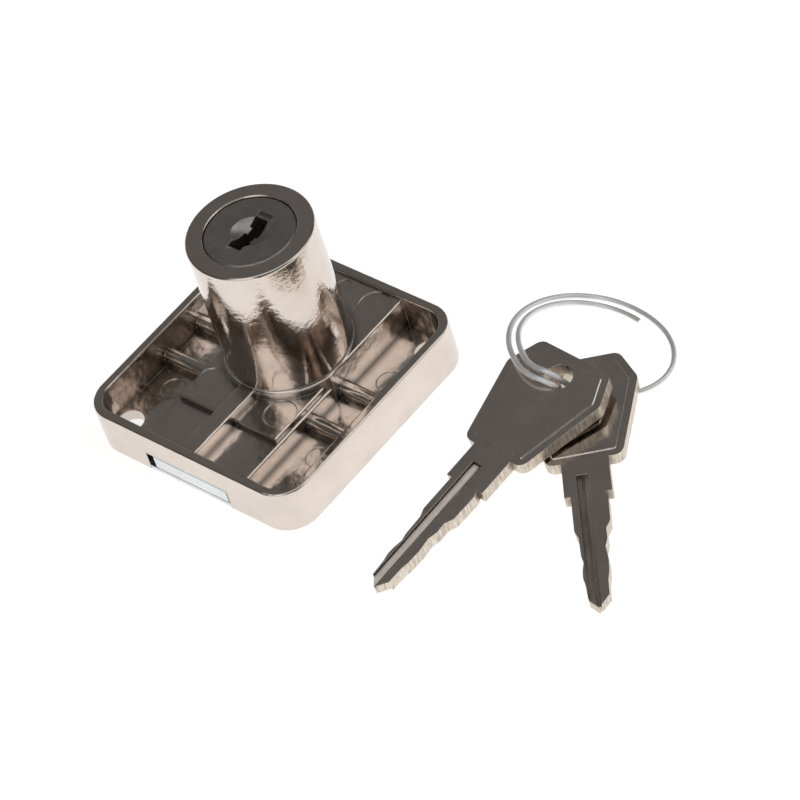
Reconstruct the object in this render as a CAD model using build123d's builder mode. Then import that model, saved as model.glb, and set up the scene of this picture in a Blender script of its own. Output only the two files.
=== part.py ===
"""Drawer lock with a round barrel, a sliding bolt and two keys on a wire ring.

Millimetres. The origin is where the barrel's axis meets the back face, which rests on z = 0.
+Z runs along the barrel to the key's side and the bolt is thrown towards -Y.
"""

from build123d import *
from math import cos, radians, sin, sqrt, tan
import os

os.makedirs("parts", exist_ok=True)

# Casing: a die-cast tray with a boxed bolt channel and the barrel
casing_width = 40.0
casing_length = 40.5
axis_to_front = 24.6
casing_depth = 7.5
corner_radius = 4.8
rim_width = 1.45
floor_thickness = 1.9
draft = 2.0
rim_edge = 0.3

# Bolt channel, platforms and ribs that stand in the tray
channel_width = 19.5
channel_top = 4.75
platform_width = 18.8
platform_front = 14.8
platform_top = 5.8
rear_front = 2.4
rear_top = 7.0
spine_width = 2.85
spine_top = 7.1
rib_width = 2.3
rib_top = 4.0
rib_edge = 1.05
rib_places = (-7.9, -0.5)
cast_edge = 0.3

# Barrel
barrel_radius = 9.5
barrel_top = 30.5
barrel_edge = 0.35
collar_width = 0.5
collar_top = 6.9
collar_across = 19.3
mouth_chamfer = 0.12

# Screw holes and ejector marks
screw_hole_radius = 2.1
screw_hole_offset = 15.8
mark_depth = 0.1
platform_mark_radius = 2.5
platform_mark_place = (6.8, -10.6)
strip_mark_radius = 1.9
strip_mark_x = 14.2
strip_mark_rows = (-12.2, 4.1)
rear_mark_radius = 2.6
rear_mark_place = (6.7, 11.9)
small_mark_radius = 1.2
small_mark_row = 12.7

# Back plate, held by four cast posts whose ends are spread
plate_thickness = 0.75
plate_width = 22.6
plate_margin = 1.7
plate_gap = 0.05
post_radius = 0.95
post_head_radius = 1.4
post_head_depth = 0.3
post_inset = 2.0
post_end_margin = 4.9

# Bolt and its drive
bolt_width = 14.2
bolt_thickness = 2.5
bolt_offset = 0.2
bolt_tail = 8.3
bolt_side_gap = 0.1
bolt_lift_gap = 0.1
slot_width = 15.8
slot_offset = -0.4
bolt_edge = 0.25
tail_gap = 0.5
core_wall = 1.7
core_roof = 1.4
crank_radius = 3.5
crank_pin_radius = 1.3
crank_gap = 0.1
crank_spare = 0.2105

# Plug, its bore and its stop
plug_radius = 6.3
plug_head_radius = 6.8
plug_head_height = 3.2
plug_sink = 0.15
plug_gap = 0.1
plug_edge = 0.25
stop_height = 0.8
stop_half_angle = 12.0
stop_gap_angle = 1.0
turn_angle = 180.0

# Keyway
keyway_width = 2.4
keyway_length = 6.4
keyway_mouth_length = 7.9
keyway_mouth_depth = 0.6
keyway_depth = 20.4
ward_height = 0.45
ward_width = 1.2
dimple_radius = 2.9
dimple_depth = 1.0

# Wafers, one above another, sprung out by turns to the front and to the back
wafer_count = 6
wafer_pitch = 2.4
first_wafer_depth = 5.35
wafer_thickness = 1.0
wafer_left = 4.0
wafer_right = 2.8
wafer_gap = 0.05
wafer_travel = 0.55
window_spare = 0.05
ear_reach = 4.2
ear_outer = 4.35
ear_height = 0.8
spring_radius = 0.45
spring_wire = 0.18
spring_turns = 4
spring_place = 3.5
spring_room = 3.6
groove_end_spare = 0.5
groove_side_spare = 0.3

# Retaining wafer and the ring groove that it runs in
retainer_level = 6.2
retainer_thickness = 1.0
retainer_width = 6.0
retainer_reach = 6.95
retainer_gap = 0.08
retainer_groove_radius = 7.3
retainer_travel = 0.65

# Keys
key_thickness = 2.2
bow_back = 4.1
bow_back_half = 6.5
bow_wide = 1.1
bow_wide_half = 8.8
bow_front = 14.8
bow_front_half = 5.4
bow_corner = 1.5
bow_border = 1.1
bow_sink = 0.12
bow_slope = 45.0
key_hole_radius = 2.2
neck_end = 21.0
neck_half = 3.4
blade_length = 19.7
key_groove_start = 17.3
key_groove_width = 1.65
key_groove_offset = 0.625
key_groove_depth = 0.5

# Where the two keys lie: the middle of each hole on its upper face, its heading and its fall
key_a_hole = (39.4, 13.57, 6.4)
key_a_heading = (-0.064, -0.998)
key_a_drop = 0.106
key_b_hole = (39.9, 16.17, 3.25)
key_b_heading = (0.666, -0.747)
key_b_drop = 0.028

# Split ring: its wire runs as a flat spiral that climbs over the upper key and drops through both holes
ring_wire_radius = 0.42
ring_middle = (35.57, 24.51)
ring_long = 14.2
ring_short = 9.7
ring_skew = 2.9
ring_start = 72.0
ring_end = 634.0
ring_pitch = 1.42
ring_low = 0.445
ring_high = 7.3
ring_climb = (90.8, 210.4)
ring_drop = (264.5, 295.0)
ring_lean = (0.79, -0.575)
ring_tuck = (-2.48, 1.1)
tuck_angle = 263.6
tuck_spread = 26.7
ring_coarse_step = 40.0
ring_fine_step = 9.0
ring_fine_angles = (240.0, 312.0)
ring_small_turn = 0.1
ring_next_layer = 300


# Places that follow from the sizes above
front_y = -axis_to_front
back_y = casing_length - axis_to_front
middle_y = (front_y + back_y) / 2
collar_radius = barrel_radius + collar_width
wall_bite = rim_width / 2
bolt_bottom = plate_thickness + bolt_lift_gap
bolt_top = bolt_bottom + bolt_thickness
channel_roof = bolt_top + bolt_lift_gap
plug_face = barrel_top - plug_sink
plug_shoulder = plug_face - plug_head_height
plug_bottom = channel_roof + bolt_lift_gap
wafer_heights = [plug_face - first_wafer_depth - i * wafer_pitch for i in range(wafer_count)]
wafer_sides = [-1 if i % 2 == 0 else 1 for i in range(wafer_count)]
ear_inner = ear_outer - ear_height
spring_seat = ear_inner - spring_room
grooves_low = wafer_heights[-1] - wafer_thickness
grooves_high = wafer_heights[0] + wafer_thickness / 2 + wafer_gap
post_row = casing_length / 2 - plate_margin - post_end_margin
post_places = [
    (x_side * (plate_width / 2 - post_inset), middle_y + y_side * post_row)
    for x_side in (-1, 1)
    for y_side in (-1, 1)
]
stop_middle = 90.0

# Corners of the bow and the cut edges of the blade, as distance from the hole and half width
bow_corners = [
    (-bow_back, -bow_back_half),
    (bow_wide, -bow_wide_half),
    (bow_front, -bow_front_half),
    (bow_front, bow_front_half),
    (bow_wide, bow_wide_half),
    (-bow_back, bow_back_half),
]
left_cuts = [
    (neck_end, 2.5), (27.2, 2.5), (28.5, 2.0), (31.8, 1.9), (32.9, 1.65),
    (34.4, 1.9), (35.6, 1.95), (36.9, 1.7), (39.3, 1.55), (neck_end + blade_length, 0.35),
]
right_cuts = [
    (neck_end, 2.4), (22.0, 2.75), (26.3, 2.65), (27.6, 1.95), (29.3, 2.0), (30.8, 1.6),
    (33.0, 1.85), (35.2, 1.75), (36.6, 1.5), (39.2, 1.45), (neck_end + blade_length, 0.25),
]
print("bolt throw", 2 * crank_radius)


def cast_block(x_low, x_high, y_low, y_high, z_low, z_high, edge=cast_edge):
    """A drafted block of the casting, at its stated size along its top, with its top edges rounded."""
    spread = (z_high - z_low) * tan(radians(draft))
    with BuildPart() as block:
        with BuildSketch(Plane.XY.offset(z_low)):
            with Locations(((x_low + x_high) / 2, (y_low + y_high) / 2)):
                Rectangle(x_high - x_low + 2 * spread, y_high - y_low + 2 * spread)
        extrude(amount=z_high - z_low, taper=draft)
        fillet(block.faces().sort_by(Axis.Z)[-1].edges(), edge)
    return block.part


def arc_band(inner, outer, middle, half_angle):
    """A flat ring sector about the barrel's axis, angles in degrees from +X."""
    with BuildSketch() as band:
        with BuildLine():
            far = CenterArc((0, 0), outer, middle - half_angle, 2 * half_angle)
            near = CenterArc((0, 0), inner, middle - half_angle, 2 * half_angle)
            Line(far @ 0, near @ 0)
            Line(far @ 1, near @ 1)
        make_face()
    return band.sketch


# The ribs and platforms of the tray, each reaching into the walls it meets
inner_front = front_y + wall_bite
inner_back = back_y - wall_bite
channel_block = cast_block(
    -channel_width / 2, channel_width / 2, inner_front, inner_back, plate_thickness, channel_top
)
platform_block = cast_block(
    -platform_width / 2, platform_width / 2, -platform_front, 0, channel_roof, platform_top
)
rear_block = cast_block(
    -channel_width / 2, channel_width / 2, -rear_front, inner_back, plate_thickness, rear_top
)
spine_block = cast_block(
    -spine_width / 2, spine_width / 2, inner_front, 0, channel_roof, spine_top
)
cross_ribs = [
    cast_block(
        side * casing_width / 4 - reach, side * casing_width / 4 + reach,
        place - rib_width / 2, place + rib_width / 2, plate_thickness, rib_top, rib_edge,
    )
    for side in (-1, 1)
    for place in rib_places
    for reach in [casing_width / 4 - wall_bite]
]

# Barrel with its rounded mouth, and the collar at its foot, which is cut flat at its two sides
with BuildPart() as barrel:
    with BuildSketch(Plane.XY.offset(plate_thickness)):
        Circle(barrel_radius)
    extrude(amount=barrel_top - plate_thickness)
    fillet(barrel.faces().sort_by(Axis.Z)[-1].edges(), barrel_edge)

with BuildPart() as collar:
    with BuildSketch(Plane.XZ):
        with BuildLine():
            Polyline(
                (barrel_radius, collar_top + collar_width),
                (barrel_radius - collar_width, collar_top + collar_width),
                (barrel_radius - collar_width, channel_roof),
                (collar_radius, channel_roof),
                (collar_radius, collar_top),
            )
            RadiusArc((collar_radius, collar_top), (barrel_radius, collar_top + collar_width), collar_width)
        make_face()
    revolve(axis=Axis.Z)
    with BuildSketch(Plane.XY.offset(channel_roof)):
        Rectangle(collar_across, 4 * barrel_radius)
    extrude(amount=barrel_radius, mode=Mode.INTERSECT)

# Casing, with the bore from the front and the bolt's channel from the back
with BuildPart() as casing:
    with BuildSketch():
        with Locations((0, middle_y)):
            RectangleRounded(casing_width, casing_length, corner_radius)
    extrude(amount=casing_depth)
    with BuildSketch(Plane.XY.offset(casing_depth)):
        with Locations((0, middle_y)):
            RectangleRounded(
                casing_width - 2 * rim_width, casing_length - 2 * rim_width, corner_radius - rim_width
            )
    extrude(amount=floor_thickness - casing_depth, taper=draft, mode=Mode.SUBTRACT)
    fillet(casing.faces().sort_by(Axis.Z)[-1].edges(), rim_edge)
    add([channel_block, platform_block, rear_block, spine_block] + cross_ribs)
    add(barrel.part)
    add(collar.part)
    # Round ejector marks on the platforms and the side floors
    with BuildSketch(Plane.XY.offset(platform_top)):
        with Locations(*[(side * platform_mark_place[0], platform_mark_place[1]) for side in (-1, 1)]):
            Circle(platform_mark_radius)
    extrude(amount=-mark_depth, mode=Mode.SUBTRACT)
    with BuildSketch(Plane.XY.offset(floor_thickness)):
        with Locations(*[(side * strip_mark_x, row) for side in (-1, 1) for row in strip_mark_rows]):
            Circle(strip_mark_radius)
    extrude(amount=-mark_depth, mode=Mode.SUBTRACT)
    with BuildSketch(Plane.XY.offset(rear_top)):
        with Locations(*[(side * rear_mark_place[0], rear_mark_place[1]) for side in (-1, 1)]):
            Circle(rear_mark_radius)
        with Locations((0, small_mark_row)):
            Circle(small_mark_radius)
    extrude(amount=-mark_depth, mode=Mode.SUBTRACT)
    # Two screw holes on the diagonal
    with BuildSketch():
        with Locations((-screw_hole_offset, middle_y - screw_hole_offset),
                       (screw_hole_offset, middle_y + screw_hole_offset)):
            Circle(screw_hole_radius)
    extrude(amount=floor_thickness, mode=Mode.SUBTRACT)
    # Seat for the back plate, open to the front through the bolt's slot
    with BuildSketch():
        with Locations((0, middle_y)):
            Rectangle(plate_width + 2 * plate_gap, casing_length - 2 * plate_margin + 2 * plate_gap)
    extrude(amount=plate_thickness, mode=Mode.SUBTRACT)
    with BuildSketch():
        with Locations((slot_offset, front_y)):
            Rectangle(slot_width, 2 * (plate_margin + rim_width))
    extrude(amount=channel_roof, mode=Mode.SUBTRACT)
    # Bolt channel and the core behind it
    with BuildSketch(Plane.XY.offset(plate_thickness)):
        with Locations((bolt_offset, (front_y + bolt_tail + tail_gap) / 2)):
            Rectangle(bolt_width + 2 * bolt_side_gap, bolt_tail + tail_gap - front_y)
    extrude(amount=channel_roof - plate_thickness, mode=Mode.SUBTRACT)
    with BuildSketch():
        with Locations((0, (bolt_tail + back_y) / 2)):
            Rectangle(bolt_width, back_y - bolt_tail - 2 * core_wall)
    extrude(amount=rear_top - core_roof, mode=Mode.SUBTRACT)
    # Bore for the plug, with a shoulder for its head and the recess that stops it after half a turn
    with BuildSketch(Plane.XY.offset(channel_roof)):
        Circle(plug_radius + plug_gap)
    extrude(amount=barrel_top - channel_roof, mode=Mode.SUBTRACT)
    with BuildSketch(Plane.XY.offset(plug_shoulder - plug_gap)):
        Circle(plug_head_radius + plug_gap)
    extrude(amount=barrel_top - plug_shoulder + plug_gap, mode=Mode.SUBTRACT)
    with BuildSketch(Plane.XY.offset(plug_shoulder)):
        add(arc_band(plug_radius, plug_head_radius + plug_gap, stop_middle + turn_angle / 2,
                     stop_half_angle + turn_angle / 2 + stop_gap_angle))
    extrude(amount=-stop_height - plug_gap, mode=Mode.SUBTRACT)
    # Grooves that the wafers spring out into, and the ring groove of the retaining wafer
    with BuildSketch(Plane.XY.offset(grooves_low)):
        Rectangle(2 * (ear_reach + groove_side_spare), 2 * (plug_radius + wafer_travel + groove_end_spare))
    extrude(amount=grooves_high - grooves_low, mode=Mode.SUBTRACT)
    with BuildSketch(Plane.XY.offset(retainer_level - retainer_gap)):
        Circle(retainer_groove_radius)
    extrude(amount=retainer_thickness + 2 * retainer_gap, mode=Mode.SUBTRACT)
    chamfer(casing.faces().sort_by(Axis.Z)[-1].edges().sort_by(SortBy.LENGTH)[0], mouth_chamfer)
    # Cast posts through the back plate, with spread heads
    with BuildSketch():
        with Locations(*post_places):
            Circle(post_radius)
    extrude(amount=plate_thickness)
    with BuildSketch():
        with Locations(*post_places):
            Circle(post_head_radius)
    extrude(amount=post_head_depth)
casing.part.label = "casing"
export_step(casing.part, "parts/casing.step")

# Back plate, with a tongue that fills the floor of the bolt's slot
with BuildPart() as back_plate:
    with BuildSketch():
        with Locations((0, middle_y)):
            Rectangle(plate_width, casing_length - 2 * plate_margin)
        with Locations((slot_offset, front_y + plate_gap + plate_margin)):
            Rectangle(slot_width - 2 * plate_gap, 2 * plate_margin)
    extrude(amount=plate_thickness)
    with BuildSketch():
        with Locations(*post_places):
            Circle(post_radius + plate_gap)
    extrude(amount=plate_thickness, mode=Mode.SUBTRACT)
    with BuildSketch():
        with Locations(*post_places):
            Circle(post_head_radius + plate_gap)
    extrude(amount=post_head_depth + plate_gap, mode=Mode.SUBTRACT)
back_plate.part.label = "back_plate"
export_step(back_plate.part, "parts/back_plate.step")

# Bolt, with the cross slot that the plug's crank pin drives
with BuildPart() as bolt:
    with BuildSketch(Plane.XY.offset(bolt_bottom)):
        with Locations((bolt_offset, (front_y + bolt_tail) / 2)):
            Rectangle(bolt_width, bolt_tail - front_y)
    extrude(amount=bolt_thickness)
    fillet(bolt.edges().filter_by(Axis.X).group_by(Axis.Y)[0], bolt_edge)
    with BuildSketch(Plane.XY.offset(bolt_bottom)):
        with Locations((0, crank_radius)):
            Rectangle(
                2 * (crank_radius + crank_pin_radius + crank_gap),
                2 * (crank_pin_radius + crank_gap + crank_spare * crank_radius),
            )
    extrude(amount=bolt_thickness, mode=Mode.SUBTRACT)
bolt.part.label = "bolt"
export_step(bolt.part, "parts/bolt.step")

# Plug: head, body, stop lug and crank pin in one casting
ball_radius = (dimple_radius ** 2 + dimple_depth ** 2) / (2 * dimple_depth)
with BuildPart() as plug:
    with BuildSketch(Plane.XY.offset(plug_bottom)):
        Circle(plug_radius)
    extrude(amount=plug_shoulder - plug_bottom)
    with BuildSketch(Plane.XY.offset(plug_shoulder)):
        Circle(plug_head_radius)
    extrude(amount=plug_head_height)
    fillet(plug.faces().sort_by(Axis.Z)[-1].edges(), plug_edge)
    with BuildSketch(Plane.XY.offset(plug_shoulder)):
        add(arc_band(plug_radius / 2, plug_head_radius, stop_middle, stop_half_angle))
    extrude(amount=-stop_height)
    with BuildSketch(Plane.XY.offset(plug_bottom)):
        with Locations((0, crank_radius)):
            Circle(crank_pin_radius)
    extrude(amount=bolt_bottom - plug_bottom)
    # Keyway: a long shallow mouth, a round dimple and the deep slot with its two wards
    with BuildSketch(Plane.XY.offset(plug_face)):
        Rectangle(keyway_width, keyway_mouth_length)
    extrude(amount=-keyway_mouth_depth, mode=Mode.SUBTRACT)
    with BuildSketch(Plane.XY.offset(plug_face)):
        Rectangle(keyway_width, keyway_length)
        with Locations(*[(side * keyway_width / 2, -side * key_groove_offset) for side in (-1, 1)]):
            Rectangle(2 * ward_height, ward_width, mode=Mode.SUBTRACT)
    extrude(amount=-keyway_depth, mode=Mode.SUBTRACT)
    with Locations((0, 0, plug_face + ball_radius - dimple_depth)):
        Sphere(ball_radius, mode=Mode.SUBTRACT)
    # A slot and a spring pocket for each wafer
    for height, side in zip(wafer_heights, wafer_sides):
        with BuildSketch(Plane.XY.offset(height - wafer_thickness / 2 - wafer_gap)):
            with Locations(((wafer_right - wafer_left) / 2, 0)):
                Rectangle(wafer_left + wafer_right + 2 * wafer_gap, 4 * plug_radius)
            with Locations(
                ((wafer_right + ear_reach + wafer_gap) / 2, side * (spring_seat + 2 * plug_radius))
            ):
                Rectangle(ear_reach + wafer_gap - wafer_right, 4 * plug_radius)
        extrude(amount=wafer_thickness + 2 * wafer_gap, mode=Mode.SUBTRACT)
    # The retaining wafer's slot, open to one side, with its spring's pocket
    with BuildSketch(Plane.XY.offset(retainer_level - wafer_gap)):
        with Locations((retainer_travel + wafer_gap - plug_radius, 0)):
            Rectangle(2 * plug_radius, retainer_width + 2 * wafer_gap)
        with Locations(((spring_room + wafer_gap) / 2, 0)):
            Rectangle(spring_room + wafer_gap, retainer_thickness + 2 * wafer_gap)
    extrude(amount=retainer_thickness + 2 * wafer_gap, mode=Mode.SUBTRACT)
plug.part.label = "plug"
export_step(plug.part, "parts/plug.step")


def cut_edge(profile, place):
    """Distance from the blade's middle to its cut edge, at a distance from the key's hole."""
    for (near, near_half), (far, far_half) in zip(profile, profile[1:]):
        if near <= place <= far:
            return near_half + (far_half - near_half) * (place - near) / (far - near)
    return 0


def make_wafer(height, side, profile):
    """One wafer at its shear line; side says which way its spring pushes it, profile the cuts it rides on."""
    place = neck_end + plug_face - keyway_mouth_depth - height
    ends = (place - wafer_thickness / 2, place, place + wafer_thickness / 2)
    stop = max(cut_edge(profile, end) for end in ends) + window_spare
    window_length = stop + keyway_length / 2 + window_spare
    with BuildPart() as wafer:
        with BuildSketch(Plane.XY.offset(height - wafer_thickness / 2)):
            with Locations(((wafer_right - wafer_left) / 2, 0)):
                Rectangle(wafer_left + wafer_right, 4 * plug_radius)
            with Locations(((wafer_right + ear_reach) / 2, side * (ear_inner + ear_height / 2))):
                Rectangle(ear_reach - wafer_right, ear_height)
            Circle(plug_radius - wafer_gap, mode=Mode.INTERSECT)
            with Locations((0, side * (window_length / 2 - stop))):
                Rectangle(keyway_width + 2 * wafer_gap, window_length, mode=Mode.SUBTRACT)
        extrude(amount=wafer_thickness)
    return wafer.part


def make_spring(seat, direction):
    """A coil spring of square wire that starts at its seat and runs along the given direction."""
    length = spring_room - 2 * wafer_gap - spring_wire
    start = Vector(*seat) + Vector(*direction) * (wafer_gap + spring_wire / 2)
    with BuildPart() as spring:
        with BuildLine():
            coil = Helix(length / spring_turns, length, spring_radius - spring_wire / 2, start, direction)
        with BuildSketch(Plane(origin=coil @ 0, z_dir=coil % 0)):
            Rectangle(spring_wire, spring_wire)
        sweep(is_frenet=True)
    return spring.part


for number, (height, side) in enumerate(zip(wafer_heights, wafer_sides), start=1):
    wafer = make_wafer(height, side, left_cuts if side < 0 else right_cuts)
    wafer.label = f"wafer_{number}"
    export_step(wafer, f"parts/wafer_{number}.step")
    wafer_spring = make_spring((spring_place, side * spring_seat, height), (0, side, 0))
    wafer_spring.label = f"wafer_spring_{number}"
    export_step(wafer_spring, f"parts/wafer_spring_{number}.step")

# Retaining wafer, sprung out into the casing's ring groove
with BuildPart() as retaining_wafer:
    with BuildSketch(Plane.XY.offset(retainer_level)):
        with Locations((-retainer_reach / 2, 0)):
            Rectangle(retainer_reach, retainer_width)
        Circle(retainer_reach, mode=Mode.INTERSECT)
    extrude(amount=retainer_thickness)
retaining_wafer.part.label = "retaining_wafer"
export_step(retaining_wafer.part, "parts/retaining_wafer.step")

retaining_spring = make_spring((0, 0, retainer_level + retainer_thickness / 2), (1, 0, 0))
retaining_spring.label = "retaining_spring"
export_step(retaining_spring, "parts/retaining_spring.step")

# Key, lying flat with its hole at the origin, its blade along +X and its face at z = 0
with BuildPart() as key:
    with BuildSketch(Plane.XY.offset(-bow_sink)) as outline:
        with BuildLine():
            Polyline(*bow_corners, close=True)
        make_face()
        fillet(outline.vertices(), bow_corner)
        with Locations(((bow_wide + neck_end) / 2, 0)):
            Rectangle(neck_end - bow_wide, 2 * neck_half)
        with BuildLine():
            Polyline(
                (bow_wide, 0),
                (bow_wide, -left_cuts[0][1]),
                *[(place, -half) for place, half in left_cuts],
                *[(place, half) for place, half in reversed(right_cuts)],
                (bow_wide, right_cuts[0][1]),
                close=True,
            )
        make_face()
    extrude(amount=2 * bow_sink - key_thickness)
    # Raised panel on both sides of the bow
    with BuildSketch(Plane.XY.offset(-bow_sink)) as panel:
        with BuildLine():
            Polyline(*bow_corners, close=True)
        make_face()
        fillet(panel.vertices(), bow_corner)
        offset(amount=-bow_border, mode=Mode.REPLACE)
    extrude(amount=bow_sink, taper=bow_slope)
    with BuildSketch(Plane.XY.offset(bow_sink - key_thickness)):
        add(panel.sketch.moved(Location((0, 0, bow_sink))))
    extrude(amount=-bow_sink, taper=bow_slope)
    with BuildSketch():
        Circle(key_hole_radius)
    extrude(amount=-key_thickness, mode=Mode.SUBTRACT)
    # A lengthwise groove on each side of the blade, for the plug's wards
    for face, side in ((-bow_sink, -1), (bow_sink - key_thickness, 1)):
        with BuildSketch(Plane.XY.offset(face)):
            with Locations(((key_groove_start + neck_end + blade_length) / 2, side * key_groove_offset)):
                Rectangle(neck_end + blade_length - key_groove_start, key_groove_width)
        extrude(amount=side * key_groove_depth, mode=Mode.SUBTRACT)


def lay_key(hole, heading, drop):
    """The key placed with its hole's middle at a place, its blade towards a heading and falling away."""
    along = Vector(heading[0], heading[1], -drop).normalized()
    across = Vector(-heading[1], heading[0], 0).normalized()
    return key.part.moved(Plane(origin=hole, x_dir=along, z_dir=along.cross(across)).location)


key_a = lay_key(key_a_hole, key_a_heading, key_a_drop)
key_a.label = "key_a"
export_step(key_a, "parts/key_a.step")

key_b = lay_key(key_b_hole, key_b_heading, key_b_drop)
key_b.label = "key_b"
export_step(key_b, "parts/key_b.step")


def ease(value, start, end):
    """Nought before the start, one after the end and a smooth step between them."""
    share = min(max((value - start) / (end - start), 0), 1)
    return share * share * (3 - 2 * share)


def ring_point(turn):
    """Middle of the ring's wire at an angle of its run, in degrees."""
    angle = turn % 360
    climb = ease(angle, *ring_climb) - ease(angle, *ring_drop)
    height = ring_low + (ring_high - ring_low) * climb
    tuck = ease(tuck_spread - abs(angle - tuck_angle), 0, tuck_spread)
    growth = ring_pitch * (turn - ring_end) / 360
    place = Vector((ring_long + growth) * cos(radians(turn)), (ring_short + growth) * sin(radians(turn)))
    place = place.rotate(Axis.Z, ring_skew)
    return Vector(
        ring_middle[0] + place.X + ring_lean[0] * height + ring_tuck[0] * tuck,
        ring_middle[1] + place.Y + ring_lean[1] * height + ring_tuck[1] * tuck,
        height,
    )


def ring_heading(turn):
    """Direction of the ring's wire at an angle of its run."""
    return (ring_point(turn + ring_small_turn) - ring_point(turn - ring_small_turn)).normalized()


def biarc(start, start_heading, end, end_heading):
    """Point where two arcs meet that leave and arrive along the given headings."""
    span = end - start
    both = start_heading + end_heading
    bend = 2 * (1 - start_heading.dot(end_heading))
    reach = (sqrt(span.dot(both) ** 2 + bend * span.dot(span)) - span.dot(both)) / bend
    return (start + start_heading * reach + end - end_heading * reach) / 2


ring_turns = [ring_start]
while ring_turns[-1] < ring_end:
    fine = ring_fine_angles[0] <= ring_turns[-1] % 360 < ring_fine_angles[1]
    ring_turns.append(min(ring_turns[-1] + (ring_fine_step if fine else ring_coarse_step), ring_end))
with BuildPart() as key_ring:
    with BuildLine() as ring_run:
        for turn, next_turn in zip(ring_turns, ring_turns[1:]):
            near, far = ring_point(turn), ring_point(next_turn)
            joint = biarc(near, ring_heading(turn), far, ring_heading(next_turn))
            first = TangentArc(near, joint, tangent=ring_heading(turn))
            TangentArc(joint, far, tangent=first % 1)
    with BuildSketch(Plane(origin=ring_run.line @ 0, z_dir=ring_run.line % 0)):
        Circle(ring_wire_radius)
    sweep(path=ring_run.line)
key_ring.part.label = "key_ring"
export_step(key_ring.part, "parts/key_ring.step")

layers = [ring_point(ring_start + step) for step in range(int(ring_end - ring_start) + 1)]
least = min(
    (layers[near] - layers[far]).length
    for near in range(len(layers) - ring_next_layer)
    for far in range(near + ring_next_layer, len(layers))
)
print("least gap of the ring's wire to itself", round(least - 2 * ring_wire_radius, 3))
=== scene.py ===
"""Looks of the drawer lock and its keys: plated metals, a white table, the photograph's camera."""

import math

import bpy
from mathutils import Matrix, Vector


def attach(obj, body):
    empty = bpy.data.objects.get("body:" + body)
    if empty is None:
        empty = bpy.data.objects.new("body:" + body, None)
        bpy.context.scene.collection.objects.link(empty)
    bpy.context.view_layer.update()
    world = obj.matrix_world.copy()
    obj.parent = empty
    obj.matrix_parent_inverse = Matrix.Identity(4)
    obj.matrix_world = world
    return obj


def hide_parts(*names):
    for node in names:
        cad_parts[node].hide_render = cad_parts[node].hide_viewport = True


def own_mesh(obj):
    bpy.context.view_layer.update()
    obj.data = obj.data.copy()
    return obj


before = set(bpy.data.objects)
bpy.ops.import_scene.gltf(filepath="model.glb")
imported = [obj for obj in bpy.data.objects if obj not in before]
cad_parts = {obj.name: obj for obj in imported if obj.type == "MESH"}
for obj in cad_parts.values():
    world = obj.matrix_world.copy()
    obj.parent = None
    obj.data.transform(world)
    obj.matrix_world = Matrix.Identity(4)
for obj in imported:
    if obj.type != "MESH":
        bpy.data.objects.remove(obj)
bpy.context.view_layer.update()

scene = bpy.context.scene
scene.view_settings.view_transform = "Standard"
MM = 0.001

# Camera: heading, height and roll in degrees, distance, aim and reach in metres, lens in mm
AZIMUTH = 52.50
ELEVATION = 45.69
ROLL = -18.45
DISTANCE = 0.59511
AIM = Vector((16.53, 3.19, 0.0)) * MM
NEAREST = 0.01
FARTHEST = 20.0
LENS = 185.82
SENSOR = 36.0

# The room: its brightness by height (sine of the angle above the table), lowest first
TABLE_LEVEL = 0.6
DIM_LEVEL = 0.095
OVERHEAD_LEVEL = 1.1
ROOM_LEVELS = (
    (0.0, TABLE_LEVEL), (0.12, TABLE_LEVEL),
    (0.30, DIM_LEVEL), (0.89, DIM_LEVEL),
    (0.94, OVERHEAD_LEVEL), (1.0, OVERHEAD_LEVEL),
)

# Two soft boxes beside the camera and a faint one opposite: heading and half width in degrees,
# brightness. Their sides fade over so many degrees, their ends between two heights each.
SOFT_BOXES = ((-76.0, 23.0, 1.42), (42.0, 26.0, 1.42), (138.0, 36.0, 0.065))
BOX_EDGE = 5.0
BOX_LOW = (0.25, 0.42)
BOX_HIGH = (0.84, 0.93)

# The table: half its side and its depth below the object in metres, its white, and how much
# brighter than lit it looks to the camera and in the metal
FLOOR_HALF = 3.0
FLOOR_DROP = 0.00005
FLOOR_TONES = ((0.90, 0.90, 0.90), (0.92, 0.92, 0.92))
FLOOR_SCALE = 40.0
FLOOR_ROUGH = 0.9
FLOOR_LIFT = 0.68

# Spans over which noise, tone, openness and a face's tilt go from one end to the other
NOISE_SPAN = (0.3, 0.7)
TONE_SPAN = (0.35, 0.68)
OPEN_SPAN = (0.35, 0.95)
TILT_SPAN = (0.35, 0.65)

# Noise: detail and roughness where no layer says otherwise, and the slow changes of tone and of
# gloss in waves per metre
NOISE_DETAIL = 4.0
NOISE_ROUGHNESS = 0.55
TONE_SCALE = 160.0
GLOSS_SCALE = 900.0

# Layers of the skins: waves per metre, detail, height in metres
TRAY_WAVES = (260.0, 2.0, 0.00017)
BARREL_WAVES = (420.0, 1.5, 0.00003)
CAST_RIPPLE = (1500.0, 2.5, 0.000022)
KEY_WAVES = (260.0, 1.5, 0.00002)
GRAIN = (6500.0, 2.0, 0.000004)

# Waves per metre and detail of the plain metals, whose heights differ
PLATE_WAVES = (380.0, 1.5)
PLATE_RIPPLE = (1800.0, 2.0)

# Softened edges: samples, and radius in metres
EDGE_SAMPLES = 6
PLATE_EDGE = 0.00012
CAST_EDGE = 0.00022
KEY_EDGE = 0.0001

# Painted shade in corners and hollows: samples, how far it reaches in metres and the colour's
# share in the deepest
PAINTED_SHADE_SAMPLES = 8
CAST_PAINTED_SHADE = (0.0016, 0.3)
KEY_PAINTED_SHADE = (0.0012, 0.35)

# The casting: its tones, its roughness, and the heights in metres over which its skin changes
# from the tray's to the barrel's
CAST_TONES = ((0.675, 0.60, 0.54), (0.74, 0.66, 0.60))
TRAY_ROUGH = (0.13, 0.23)
BARREL_ROUGH = (0.05, 0.11)
TRAY_TO_BARREL = (0.0072, 0.0078)

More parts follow.
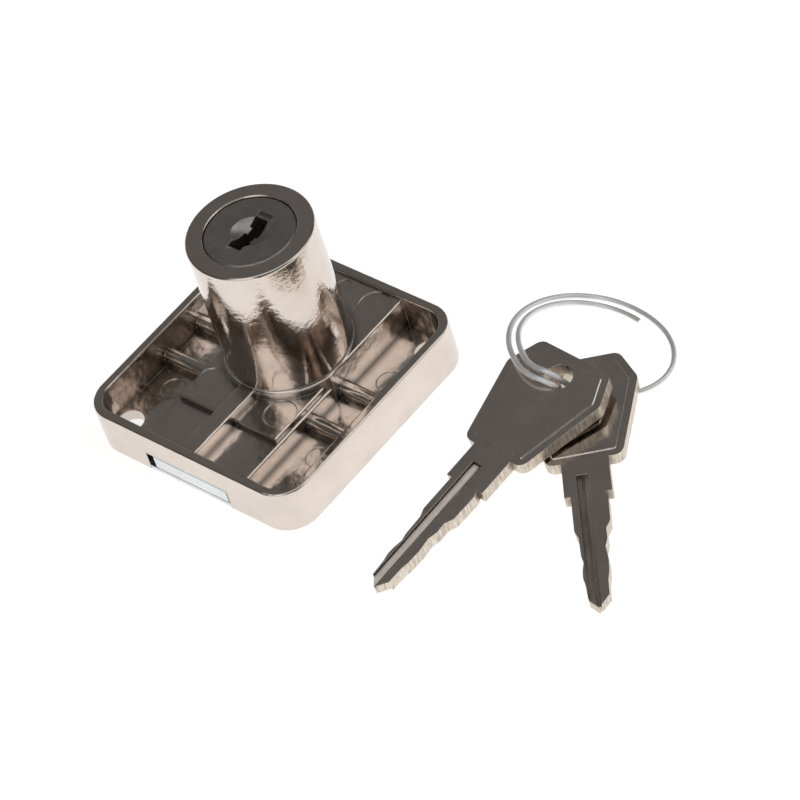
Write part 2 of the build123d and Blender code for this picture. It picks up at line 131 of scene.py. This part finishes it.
# Plain metals: tones, roughness, height of the waves and of the ripple, radius of the edges
PLAIN_METALS = {
    "plug_plate": (
        ((0.36, 0.335, 0.305), (0.41, 0.385, 0.355)), (0.34, 0.44), 0.00001, 0.000004, PLATE_EDGE
    ),
    "zinc_plate": (
        ((0.72, 0.74, 0.75), (0.80, 0.82, 0.83)), (0.22, 0.38), 0.00002, 0.00001, PLATE_EDGE
    ),
    "ring_wire": (((0.92, 0.92, 0.92), (0.98, 0.98, 0.98)), (0.5, 0.62), 0.0, 0.000003, 0.0),
    "wafer_brass": (
        ((0.55, 0.42, 0.22), (0.65, 0.51, 0.29)), (0.22, 0.36), 0.00001, 0.00001, PLATE_EDGE
    ),
    "spring_wire": (((0.48, 0.48, 0.49), (0.60, 0.60, 0.61)), (0.2, 0.34), 0.0, 0.000004, 0.0),
}

# Holes and headings of the two keys
KEY_PLACES = (
    ("key_a", (0.0394, 0.01357, 0.0), math.atan2(-0.998, -0.064)),
    ("key_b", (0.0399, 0.01617, 0.0), math.atan2(-0.747, 0.666)),
)

# The keys' faces, brushed along the blade, and their side faces, sheared across
FACE_TONES = ((0.70, 0.62, 0.555), (0.80, 0.715, 0.65))
FACE_ROUGH = (0.1, 0.2)
BRUSH_STRETCH = (12.0, 1.0, 1.0)
BRUSH_SCALE = 2400.0
BRUSH_HEIGHT = 0.00002
SIDE_TONES = ((0.46, 0.40, 0.32), (0.86, 0.79, 0.70))
SIDE_ROUGH = (0.28, 0.5)
SHEAR_STRETCH = (1.0, 1.0, 7.0)
SHEAR_SCALE = 3200.0
SHEAR_ROUGHNESS = 0.7
SHEAR_HEIGHT = 0.00005
STREAK_DETAIL = 3.0

# The blade's groove, beside its middle: start along the key, middle, half width and lowest line
# across it in metres, slopes of the floor on both sides of that line
GROOVE_START = 0.0173
GROOVE_MIDDLE = -0.000625
GROOVE_HALF = 0.00083
GROOVE_VALLEY = 0.0003
GROOVE_SLOPES = (-0.7, 0.4)
GROOVE_ROUGH = (0.24, 0.42)
GROOVE_BRUSH_HEIGHT = 0.00003


def make_camera():
    """A camera where the photograph was taken from."""
    azimuth, elevation, roll = (math.radians(angle) for angle in (AZIMUTH, ELEVATION, ROLL))
    back = Vector((
        math.cos(elevation) * math.sin(azimuth),
        -math.cos(elevation) * math.cos(azimuth),
        math.sin(elevation),
    ))
    right = Vector((math.cos(azimuth), math.sin(azimuth), 0.0))
    up = back.cross(right)
    turned_right = right * math.cos(roll) + up * math.sin(roll)
    turned_up = up * math.cos(roll) - right * math.sin(roll)
    data = bpy.data.cameras.new("camera")
    data.lens = LENS
    data.sensor_width = SENSOR
    data.clip_start = NEAREST
    data.clip_end = FARTHEST
    camera = bpy.data.objects.new("camera", data)
    scene.collection.objects.link(camera)
    axes = Matrix((turned_right, turned_up, back)).transposed().to_4x4()
    camera.matrix_world = Matrix.Translation(AIM + back * DISTANCE) @ axes
    scene.camera = camera


class Nodes:
    """A node tree, with a short call to add and join nodes."""

    def __init__(self, tree):
        self.tree = tree

    def add(self, kind, inputs, output=0, **settings):
        """A new node's output. Each input takes a value, or another node's output joined to it."""
        node = self.tree.nodes.new(kind)
        for name, value in settings.items():
            setattr(node, name, value)
        for name, value in inputs.items():
            if isinstance(value, bpy.types.NodeSocket):
                self.tree.links.new(value, node.inputs[name])
            else:
                node.inputs[name].default_value = value
        return node.outputs[output]

    def math(self, operation, *values):
        return self.add("ShaderNodeMath", dict(enumerate(values)), operation=operation)

    def parts(self, vector):
        """The three coordinates of a vector, as outputs named X, Y and Z."""
        return self.add("ShaderNodeSeparateXYZ", {"Vector": vector}).node.outputs

    def ramp(self, value, low, high, span=NOISE_SPAN, curve="LINEAR"):
        """Goes from low to high while the value goes through the span."""
        ends = {"From Min": span[0], "From Max": span[1], "To Min": low, "To Max": high}
        return self.add("ShaderNodeMapRange", {"Value": value, **ends}, interpolation_type=curve)


class Surface(Nodes):
    """A material's nodes around its shader."""

    def __init__(self, name, metallic=1.0):
        self.material = bpy.data.materials.new(name)
        self.material.use_nodes = True
        super().__init__(self.material.node_tree)
        self.shader = self.tree.nodes["Principled BSDF"]
        self.shader.inputs["Metallic"].default_value = metallic

    def give(self, name, value):
        """Joins an output to one of the shader's inputs."""
        self.tree.links.new(value, self.shader.inputs[name])

    def place(self, stretch=(1.0, 1.0, 1.0), heading=0.0, origin=(0.0, 0.0, 0.0)):
        """The piece's own coordinates in metres from an origin, turned to a heading and shrunk."""
        inputs = {
            "Vector": self.add("ShaderNodeTexCoord", {}, "Object"),
            "Location": origin,
            "Rotation": (0.0, 0.0, heading),
            "Scale": stretch,
        }
        return self.add("ShaderNodeMapping", inputs, vector_type="TEXTURE")

    def upright(self):
        """One on side faces and nought on faces that lie flat."""
        normal = self.add("ShaderNodeTexCoord", {}, "Normal")
        return self.ramp(self.math("ABSOLUTE", self.parts(normal)["Z"]), 1.0, 0.0, TILT_SPAN)

    def noise(self, vector, scale, detail=NOISE_DETAIL, roughness=NOISE_ROUGHNESS):
        inputs = {"Vector": vector, "Scale": scale, "Detail": detail, "Roughness": roughness}
        return self.add("ShaderNodeTexNoise", inputs, "Fac")

    def tint(self, value, dark, light):
        """A colour that goes from dark to light while the value goes through the tones' span."""
        colour = self.add("ShaderNodeValToRGB", {"Fac": value}, "Color")
        for element, place, tone in zip(colour.node.color_ramp.elements, TONE_SPAN, (dark, light)):
            element.position = place
            element.color = (*tone, 1.0)
        return colour

    def painted_corner_shade(self, reach, deepest):
        """Painted shade: one in the open, falling towards the given value in corners and hollows
        of the piece, where shade falls.
        """
        settings = {"only_local": True, "samples": PAINTED_SHADE_SAMPLES}
        openness = self.add("ShaderNodeAmbientOcclusion", {"Distance": reach}, "AO", **settings)
        return self.ramp(openness, deepest, 1.0, OPEN_SPAN)

    def scaled(self, colour, share):
        """A colour made darker, to a share of its brightness."""
        return self.add("ShaderNodeVectorMath", {0: colour, "Scale": share}, operation="SCALE")

    def blend(self, share, first, second):
        """Colour or value that goes from the first to the second as the share grows."""
        return self.add("ShaderNodeMix", {0: share, 6: first, 7: second}, 2, data_type="RGBA")

    def bump(self, value, height, under=None, share=1.0, edge=0.0):
        """The surface's direction, bumped by a value on an earlier bump or on softened edges."""
        inputs = {"Height": value, "Distance": height, "Strength": share}
        if under is not None:
            inputs["Normal"] = under
        elif edge:
            inputs["Normal"] = self.add("ShaderNodeBevel", {"Radius": edge}, samples=EDGE_SAMPLES)
        return self.add("ShaderNodeBump", inputs)

    def layer(self, vector, scale, detail, height, **options):
        """A bump of noise."""
        return self.bump(self.noise(vector, scale, detail), height, **options)


def metal(name, tones, rough, wave, ripple, edge):
    """Plated metal: slow changes of tone and gloss, a wavy skin with fine grain, soft edges."""
    m = Surface(name)
    vector = m.place()
    m.give("Base Color", m.tint(m.noise(vector, TONE_SCALE), *tones))
    m.give("Roughness", m.ramp(m.noise(vector, GLOSS_SCALE), *rough))
    skin = m.layer(vector, *PLATE_WAVES, wave, edge=edge)
    skin = m.layer(vector, *PLATE_RIPPLE, ripple, under=skin)
    m.give("Normal", m.layer(vector, *GRAIN, under=skin))
    return m.material


def casting(name):
    """Plated die casting: wavy and a little dull in the tray, glossy and rippled on the barrel."""
    m = Surface(name)
    vector = m.place()
    height = m.parts(vector)["Z"]
    in_tray = m.ramp(height, 1.0, 0.0, TRAY_TO_BARREL)
    on_barrel = m.ramp(height, 0.0, 1.0, TRAY_TO_BARREL)
    colour = m.tint(m.noise(vector, TONE_SCALE), *CAST_TONES)
    # The colour is darkened in corners and hollows: painted shade, not the plating's own colour.
    m.give("Base Color", m.scaled(colour, m.painted_corner_shade(*CAST_PAINTED_SHADE)))
    gloss = m.noise(vector, GLOSS_SCALE)
    m.give("Roughness", m.blend(in_tray, m.ramp(gloss, *BARREL_ROUGH), m.ramp(gloss, *TRAY_ROUGH)))
    skin = m.layer(vector, *TRAY_WAVES, share=in_tray, edge=CAST_EDGE)
    skin = m.layer(vector, *BARREL_WAVES, under=skin, share=on_barrel)
    skin = m.layer(vector, *CAST_RIPPLE, under=skin)
    m.give("Normal", m.layer(vector, *GRAIN, under=skin))
    return m.material


def key_plate(name, hole, heading):
    """Plated key: faces and a hollow groove brushed along the blade, side faces sheared across."""
    m = Surface(name)
    vector = m.place()
    side = m.upright()
    flat = m.math("SUBTRACT", 1.0, side)
    streaks = m.noise(m.place(BRUSH_STRETCH, heading), BRUSH_SCALE, STREAK_DETAIL)
    sheared = m.noise(m.place(SHEAR_STRETCH), SHEAR_SCALE, STREAK_DETAIL, SHEAR_ROUGHNESS)
    face = m.tint(m.noise(vector, TONE_SCALE), *FACE_TONES)
    colour = m.blend(side, face, m.tint(sheared, *SIDE_TONES))
    # The colour is darkened in corners and hollows, such as the hole's wall: painted shade.
    m.give("Base Color", m.scaled(colour, m.painted_corner_shade(*KEY_PAINTED_SHADE)))

    # The groove, whose floor is milled to a shallow vee across its width
    on_key = m.parts(m.place(heading=heading, origin=hole))
    across = m.math("SUBTRACT", on_key["Y"], GROOVE_MIDDLE)
    beside = m.math("SUBTRACT", across, GROOVE_VALLEY)
    vee = m.math("MAXIMUM", *(m.math("MULTIPLY", beside, slope) for slope in GROOVE_SLOPES))
    groove = m.math("MULTIPLY", m.math("COMPARE", across, 0.0, GROOVE_HALF), flat)
    groove = m.math("MULTIPLY", m.math("GREATER_THAN", on_key["X"], GROOVE_START), groove)

    gloss = m.ramp(m.noise(vector, GLOSS_SCALE), *FACE_ROUGH)
    gloss = m.blend(side, gloss, m.ramp(sheared, *SIDE_ROUGH))
    m.give("Roughness", m.blend(groove, gloss, m.ramp(streaks, *GROOVE_ROUGH)))
    skin = m.bump(vee, 1.0, share=groove, edge=KEY_EDGE)
    skin = m.layer(vector, *KEY_WAVES, under=skin)
    skin = m.bump(streaks, BRUSH_HEIGHT, under=skin, share=flat)
    skin = m.bump(streaks, GROOVE_BRUSH_HEIGHT, under=skin, share=groove)
    skin = m.bump(sheared, SHEAR_HEIGHT, under=skin, share=side)
    m.give("Normal", m.layer(vector, *GRAIN, under=skin))
    return m.material


def dress_nodes():
    """Gives each CAD node its material."""
    plain = {name: metal(name, *values) for name, values in PLAIN_METALS.items()}
    materials = {
        "casing": casting("nickel_plate"),
        "plug": plain["plug_plate"],
        "bolt": plain["zinc_plate"],
        "back_plate": plain["zinc_plate"],
        "key_ring": plain["ring_wire"],
    }
    for key, hole, heading in KEY_PLACES:
        materials[key] = key_plate(f"{key}_plate", hole, heading)
    for name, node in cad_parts.items():
        hidden = plain["spring_wire" if "spring" in name else "wafer_brass"]
        node.data.materials.clear()
        node.data.materials.append(materials.get(name, hidden))


def make_floor():
    """A white table, seen and mirrored as white, that still takes the object's shadow."""
    mesh = bpy.data.meshes.new("floor")
    signs = ((-1, -1), (1, -1), (1, 1), (-1, 1))
    corners = [(x * FLOOR_HALF, y * FLOOR_HALF, 0) for x, y in signs]
    mesh.from_pydata(corners, [], [(0, 1, 2, 3)])
    floor = bpy.data.objects.new("floor", mesh)
    floor.location.z = -FLOOR_DROP
    scene.collection.objects.link(floor)
    m = Surface("floor_white", metallic=0.0)
    m.shader.inputs["Roughness"].default_value = FLOOR_ROUGH
    m.shader.inputs["Specular IOR Level"].default_value = 0.0
    m.give("Base Color", m.tint(m.noise(m.place(), FLOOR_SCALE), *FLOOR_TONES))
    rays = m.add("ShaderNodeLightPath", {}).node.outputs
    seen = rays["Is Camera Ray"]
    for ray in ("Is Glossy Ray", "Is Transmission Ray"):
        seen = m.math("MAXIMUM", seen, rays[ray])
    lift = m.math("MULTIPLY", seen, FLOOR_LIFT)
    glow = m.add("ShaderNodeEmission", {"Strength": lift})
    both = m.add("ShaderNodeAddShader", {0: m.shader.outputs[0], 1: glow})
    m.tree.links.new(both, m.tree.nodes["Material Output"].inputs["Surface"])
    mesh.materials.append(m.material)


def make_world():
    """A dim studio room, pale near the table and overhead, with three soft boxes around it."""
    world = bpy.data.worlds.new("room")
    scene.world = world
    world.use_nodes = True
    world.node_tree.nodes.clear()
    room = Nodes(world.node_tree)
    direction = room.parts(room.add("ShaderNodeTexCoord", {}, "Generated"))
    heading = room.math("ARCTAN2", direction["Y"], direction["X"])
    height = direction["Z"]

    levels = room.add("ShaderNodeValToRGB", {"Fac": height}, "Color")
    elements = levels.node.color_ramp.elements
    for place, _ in ROOM_LEVELS[len(elements):]:
        elements.new(place)
    for element, (place, level) in zip(elements, ROOM_LEVELS):
        element.position = place
        element.color = (*[level / OVERHEAD_LEVEL] * 3, 1.0)
    total = room.math("MULTIPLY", levels, OVERHEAD_LEVEL)

    over_foot, over_top = (
        room.ramp(height, 0.0, 1.0, span, "SMOOTHSTEP") for span in (BOX_LOW, BOX_HIGH)
    )
    band = room.math("SUBTRACT", over_foot, over_top)
    for middle, half, level in SOFT_BOXES:
        off = room.math("ABSOLUTE", room.math("SUBTRACT", heading, math.radians(middle)))
        fading = (math.radians(half + BOX_EDGE), math.radians(half - BOX_EDGE))
        box = room.math("MULTIPLY", room.ramp(off, 0.0, 1.0, fading, "SMOOTHSTEP"), band)
        total = room.math("MULTIPLY_ADD", box, level, total)

    background = room.add("ShaderNodeBackground", {"Strength": total})
    output = room.tree.nodes.new("ShaderNodeOutputWorld")
    room.tree.links.new(background, output.inputs["Surface"])


def make_retaining_coil():
    """The retaining wafer's spring, as its own copy of the mesh, carried by the plug."""
    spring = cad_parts["retaining_spring"]
    coil = bpy.data.objects.new("retaining_coil", spring.data.copy())
    scene.collection.objects.link(coil)
    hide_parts("retaining_spring")
    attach(coil, "plug")
    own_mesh(coil)


make_camera()
dress_nodes()
make_floor()
make_world()
make_retaining_coil()
